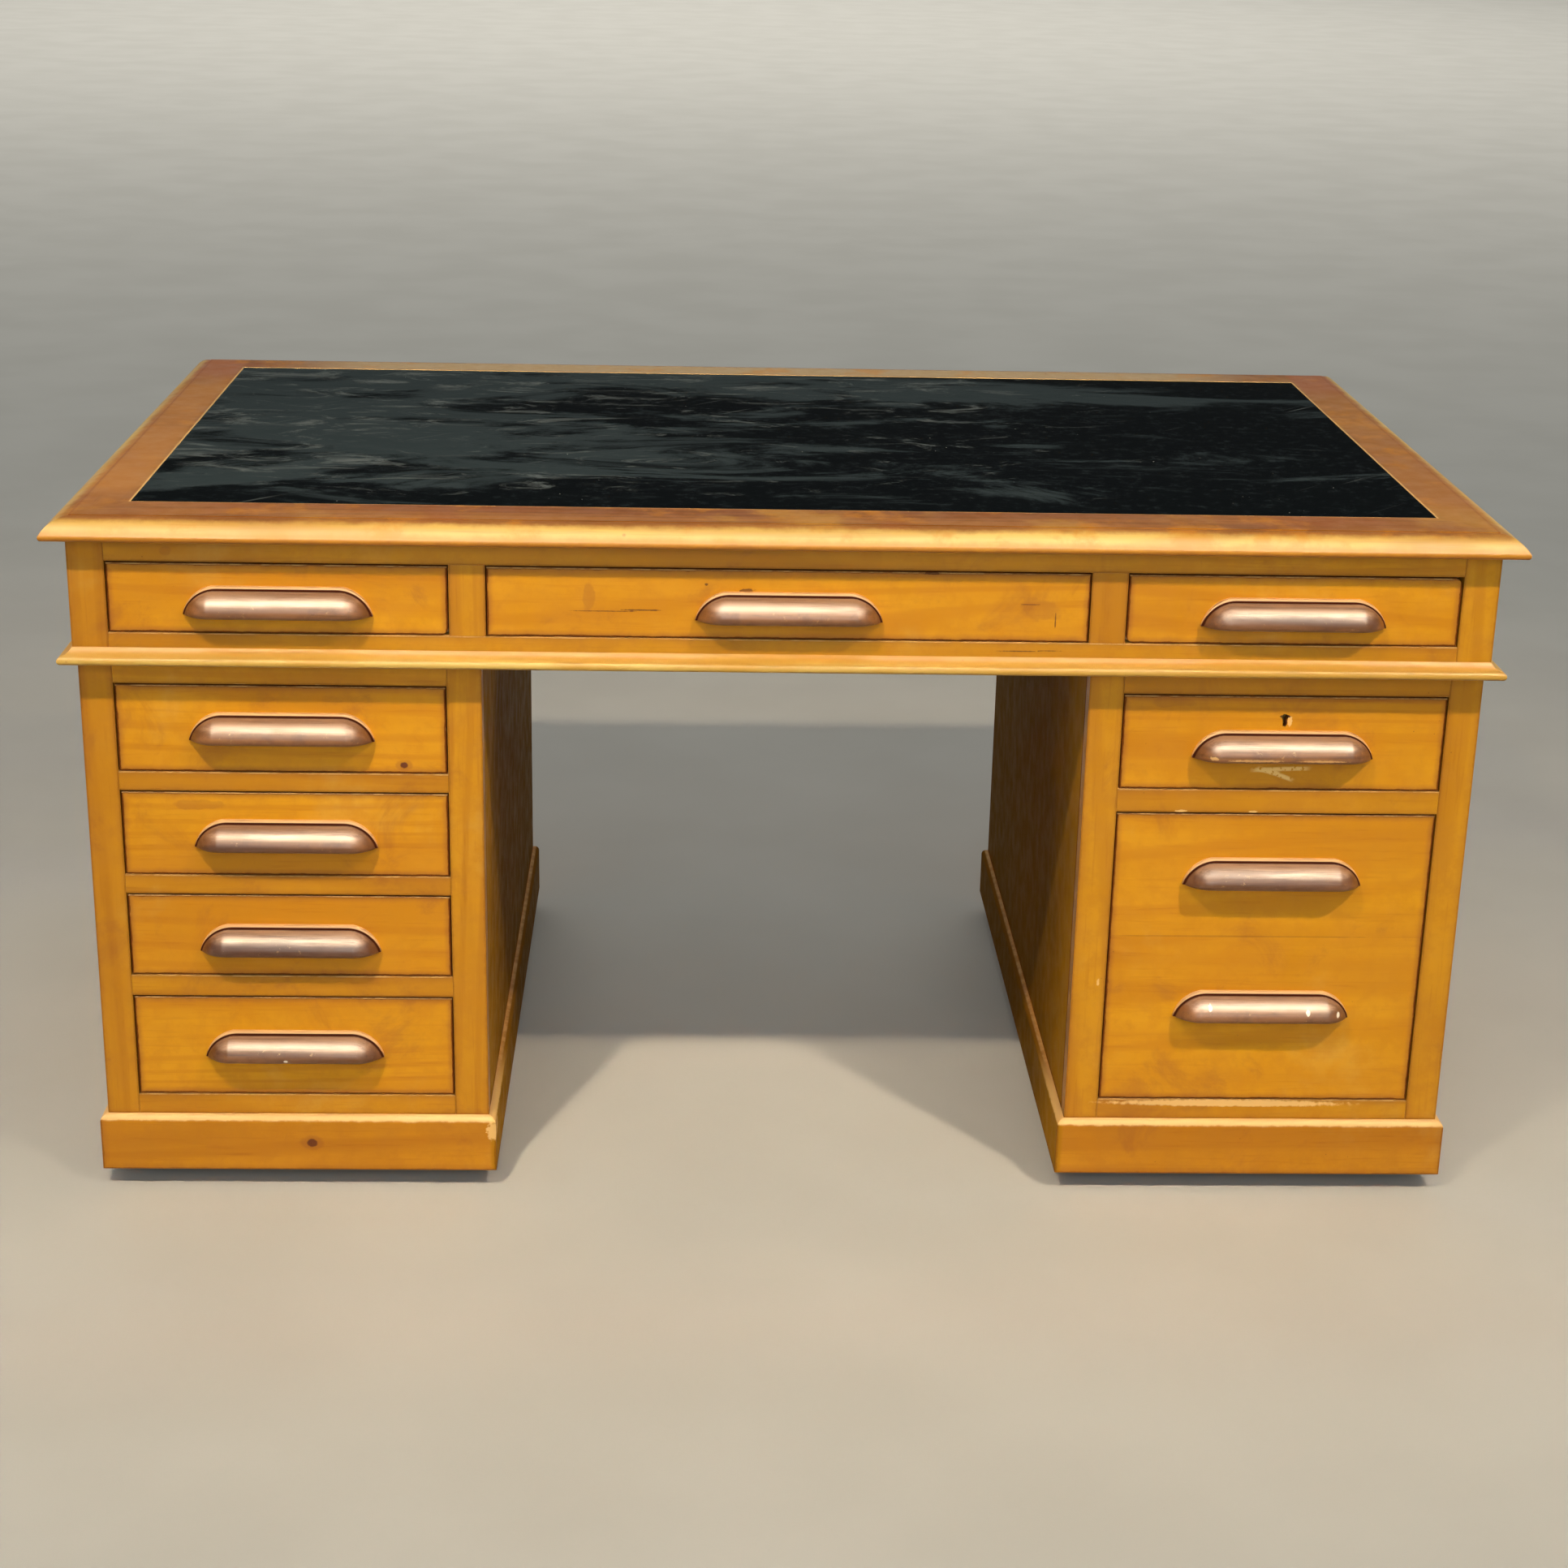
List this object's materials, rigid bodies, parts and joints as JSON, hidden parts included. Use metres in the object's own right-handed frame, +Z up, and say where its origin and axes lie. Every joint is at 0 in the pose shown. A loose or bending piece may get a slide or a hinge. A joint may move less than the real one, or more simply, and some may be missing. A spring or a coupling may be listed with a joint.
{
  "type": "pedestal desk",
  "caption": "Twin pedestal writing desk in varnished pine with an inset leather top, frieze drawers over banks of pedestal drawers, long wooden pulls, plinths and sunk castors.",
  "frame": {"origin": "on the floor below the middle of the desktop", "axes": "+Z up; +X along the width, to the right of someone who faces the drawer fronts; the drawers open towards -Y"},
  "size_m": [1.524, 0.914, 0.77],
  "materials": {
    "varnished_pine": "amber varnish, worn at the edges",
    "inner_pine": "bare pine, darkened with age",
    "mahogany": "polished, worn",
    "black_leather": "worn skiver with cloudy scuffs",
    "lock_brass": "tarnished",
    "castor_iron": "dark, dull",
    "castor_wheel": "worn dark grey"
  },
  "bodies": {
    "desk": {"desktop_frame": "varnished_pine", "desktop_panel": "inner_pine", "writing_leather": "black_leather", "frieze_face_frame": "varnished_pine", "frieze_case": "varnished_pine", "waist_moulding": "varnished_pine", "frieze_drawer_runners": "inner_pine", "left_pedestal_case": "varnished_pine", "left_face_frame": "varnished_pine", "left_plinth": "varnished_pine", "right_pedestal_case": "varnished_pine", "right_face_frame": "varnished_pine", "right_plinth": "varnished_pine", "pedestal_drawer_runners": "inner_pine", "castor_plates": "castor_iron"},
    "drawer_frieze_left": {"frieze_left_front": "varnished_pine", "frieze_left_box": "inner_pine", "frieze_left_pull": "mahogany"},
    "drawer_frieze_centre": {"frieze_centre_front": "varnished_pine", "frieze_centre_box": "inner_pine", "frieze_centre_pull": "mahogany"},
    "drawer_frieze_right": {"frieze_right_front": "varnished_pine", "frieze_right_box": "inner_pine", "frieze_right_pull": "mahogany"},
    "drawer_left_1": {"left_1_front": "varnished_pine", "left_1_box": "inner_pine", "left_1_pull": "mahogany"},
    "drawer_left_2": {"left_2_front": "varnished_pine", "left_2_box": "inner_pine", "left_2_pull": "mahogany"},
    "drawer_left_3": {"left_3_front": "varnished_pine", "left_3_box": "inner_pine", "left_3_pull": "mahogany"},
    "drawer_left_4": {"left_4_front": "varnished_pine", "left_4_box": "inner_pine", "left_4_pull": "mahogany"},
    "drawer_right_upper": {"right_upper_front": "varnished_pine", "right_upper_box": "inner_pine", "right_upper_pull": "mahogany", "lock_case": "lock_brass"},
    "drawer_right_deep": {"right_deep_front": "varnished_pine", "right_deep_box": "inner_pine", "right_deep_pull": "mahogany"},
    "lock_bolt": {"lock_bolt": "lock_brass"},
    "fork_left_front_inner": {"fork_left_front_inner": "castor_iron"},
    "wheel_left_front_inner": {"wheel_left_front_inner": "castor_wheel"},
    "fork_left_front_outer": {"fork_left_front_outer": "castor_iron"},
    "wheel_left_front_outer": {"wheel_left_front_outer": "castor_wheel"},
    "fork_left_back_inner": {"fork_left_back_inner": "castor_iron"},
    "wheel_left_back_inner": {"wheel_left_back_inner": "castor_wheel"},
    "fork_left_back_outer": {"fork_left_back_outer": "castor_iron"},
    "wheel_left_back_outer": {"wheel_left_back_outer": "castor_wheel"},
    "fork_right_front_inner": {"fork_right_front_inner": "castor_iron"},
    "wheel_right_front_inner": {"wheel_right_front_inner": "castor_wheel"},
    "fork_right_front_outer": {"fork_right_front_outer": "castor_iron"},
    "wheel_right_front_outer": {"wheel_right_front_outer": "castor_wheel"},
    "fork_right_back_inner": {"fork_right_back_inner": "castor_iron"},
    "wheel_right_back_inner": {"wheel_right_back_inner": "castor_wheel"},
    "fork_right_back_outer": {"fork_right_back_outer": "castor_iron"},
    "wheel_right_back_outer": {"wheel_right_back_outer": "castor_wheel"}
  },
  "joints": [
    {"name": "frieze_left_slide", "type": "slide", "parent": "desk", "child": "drawer_frieze_left", "axis": [0, -1, 0], "range_m": [0, 0.5]},
    {"name": "frieze_centre_slide", "type": "slide", "parent": "desk", "child": "drawer_frieze_centre", "axis": [0, -1, 0], "range_m": [0, 0.5]},
    {"name": "frieze_right_slide", "type": "slide", "parent": "desk", "child": "drawer_frieze_right", "axis": [0, -1, 0], "range_m": [0, 0.5]},
    {"name": "left_1_slide", "type": "slide", "parent": "desk", "child": "drawer_left_1", "axis": [0, -1, 0], "range_m": [0, 0.48]},
    {"name": "left_2_slide", "type": "slide", "parent": "desk", "child": "drawer_left_2", "axis": [0, -1, 0], "range_m": [0, 0.48]},
    {"name": "left_3_slide", "type": "slide", "parent": "desk", "child": "drawer_left_3", "axis": [0, -1, 0], "range_m": [0, 0.48]},
    {"name": "left_4_slide", "type": "slide", "parent": "desk", "child": "drawer_left_4", "axis": [0, -1, 0], "range_m": [0, 0.48]},
    {"name": "right_upper_slide", "type": "slide", "parent": "desk", "child": "drawer_right_upper", "axis": [0, -1, 0], "range_m": [0, 0.48]},
    {"name": "right_deep_slide", "type": "slide", "parent": "desk", "child": "drawer_right_deep", "axis": [0, -1, 0], "range_m": [0, 0.48]},
    {"name": "lock_bolt_slide", "type": "slide", "parent": "drawer_right_upper", "child": "lock_bolt", "axis": [0, 0, 1], "range_m": [0, 0.007]},
    {"name": "swivel_left_front_inner", "type": "hinge", "parent": "desk", "child": "fork_left_front_inner", "pos_m": [-0.37, -0.36, 0.056], "axis": [0, 0, 1], "continuous": true},
    {"name": "roll_left_front_inner", "type": "hinge", "parent": "fork_left_front_inner", "child": "wheel_left_front_inner", "pos_m": [-0.386, -0.36, 0.025], "axis": [0, 1, 0], "continuous": true},
    {"name": "swivel_left_front_outer", "type": "hinge", "parent": "desk", "child": "fork_left_front_outer", "pos_m": [-0.692, -0.36, 0.056], "axis": [0, 0, 1], "continuous": true},
    {"name": "roll_left_front_outer", "type": "hinge", "parent": "fork_left_front_outer", "child": "wheel_left_front_outer", "pos_m": [-0.708, -0.36, 0.025], "axis": [0, 1, 0], "continuous": true},
    {"name": "swivel_left_back_inner", "type": "hinge", "parent": "desk", "child": "fork_left_back_inner", "pos_m": [-0.37, 0.387, 0.056], "axis": [0, 0, 1], "continuous": true},
    {"name": "roll_left_back_inner", "type": "hinge", "parent": "fork_left_back_inner", "child": "wheel_left_back_inner", "pos_m": [-0.386, 0.387, 0.025], "axis": [0, 1, 0], "continuous": true},
    {"name": "swivel_left_back_outer", "type": "hinge", "parent": "desk", "child": "fork_left_back_outer", "pos_m": [-0.692, 0.387, 0.056], "axis": [0, 0, 1], "continuous": true},
    {"name": "roll_left_back_outer", "type": "hinge", "parent": "fork_left_back_outer", "child": "wheel_left_back_outer", "pos_m": [-0.708, 0.387, 0.025], "axis": [0, 1, 0], "continuous": true},
    {"name": "swivel_right_front_inner", "type": "hinge", "parent": "desk", "child": "fork_right_front_inner", "pos_m": [0.37, -0.36, 0.056], "axis": [0, 0, 1], "continuous": true},
    {"name": "roll_right_front_inner", "type": "hinge", "parent": "fork_right_front_inner", "child": "wheel_right_front_inner", "pos_m": [0.386, -0.36, 0.025], "axis": [0, 1, 0], "continuous": true},
    {"name": "swivel_right_front_outer", "type": "hinge", "parent": "desk", "child": "fork_right_front_outer", "pos_m": [0.692, -0.36, 0.056], "axis": [0, 0, 1], "continuous": true},
    {"name": "roll_right_front_outer", "type": "hinge", "parent": "fork_right_front_outer", "child": "wheel_right_front_outer", "pos_m": [0.708, -0.36, 0.025], "axis": [0, 1, 0], "continuous": true},
    {"name": "swivel_right_back_inner", "type": "hinge", "parent": "desk", "child": "fork_right_back_inner", "pos_m": [0.37, 0.387, 0.056], "axis": [0, 0, 1], "continuous": true},
    {"name": "roll_right_back_inner", "type": "hinge", "parent": "fork_right_back_inner", "child": "wheel_right_back_inner", "pos_m": [0.386, 0.387, 0.025], "axis": [0, 1, 0], "continuous": true},
    {"name": "swivel_right_back_outer", "type": "hinge", "parent": "desk", "child": "fork_right_back_outer", "pos_m": [0.692, 0.387, 0.056], "axis": [0, 0, 1], "continuous": true},
    {"name": "roll_right_back_outer", "type": "hinge", "parent": "fork_right_back_outer", "child": "wheel_right_back_outer", "pos_m": [0.708, 0.387, 0.025], "axis": [0, 1, 0], "continuous": true}
  ]
}
